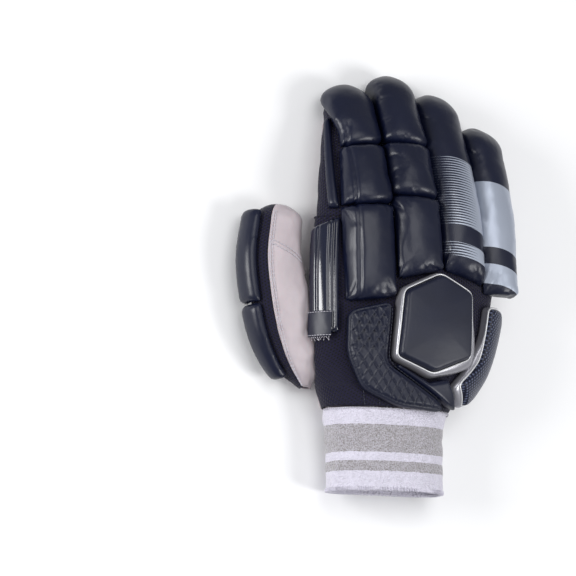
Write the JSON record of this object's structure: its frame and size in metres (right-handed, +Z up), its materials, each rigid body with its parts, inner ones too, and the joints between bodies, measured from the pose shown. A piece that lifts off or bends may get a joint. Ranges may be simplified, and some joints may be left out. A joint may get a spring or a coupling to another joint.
{
  "type": "cricket batting glove",
  "caption": "Right-hand cricket batting glove with padded finger segments, a padded hexagon on the back, a guarded thumb, a towelling wristband and a wrap strap.",
  "frame": {"origin": "on the surface that the glove lies on, under the middle of the wrist strap, where the strap's patch rests", "axes": "+Y from the wrist to the fingertips, +X towards the little finger, +Z up through the back of the hand"},
  "size_m": [0.2083, 0.3025, 0.063],
  "materials": {
    "white_leather": "soft satin",
    "navy_padding": "satin",
    "navy_mesh": "matte",
    "navy_gloss": "gloss",
    "silver_moulding": "metallic satin",
    "white_towelling": "matte, looped",
    "white_moulding": "satin",
    "black_hook_tape": "matte"
  },
  "bodies": {
    "root": {"palm_leather": "white_leather", "hand_back": "navy_mesh", "thumb_leather": "white_leather", "thumb_mesh": "navy_mesh", "wrist_cuff": "white_towelling", "wrist_strap": "white_moulding", "strap_badge": "white_moulding", "strap_end": "black_hook_tape", "index_sleeve": "navy_mesh", "middle_sleeve": "navy_mesh", "ring_sleeve": "navy_mesh", "little_sleeve": "navy_mesh", "index_base_pad": "navy_padding", "index_mid_pad": "navy_padding", "index_tip_pad": "navy_padding", "middle_base_pad": "navy_padding", "middle_mid_pad": "navy_padding", "middle_tip_pad": "navy_padding", "ring_roll": "navy_padding", "little_roll": "navy_padding", "thumb_guard_upper": "navy_padding", "thumb_guard_lower": "navy_padding", "index_side_pad": "navy_padding", "index_side_bar": "navy_gloss", "side_tag": "navy_padding", "quilted_pad": "navy_padding", "lower_strip": "navy_padding", "hex_pad": "navy_padding", "hex_surround": "silver_moulding", "little_side_pad": "navy_padding"}
  },
  "joints": []
}
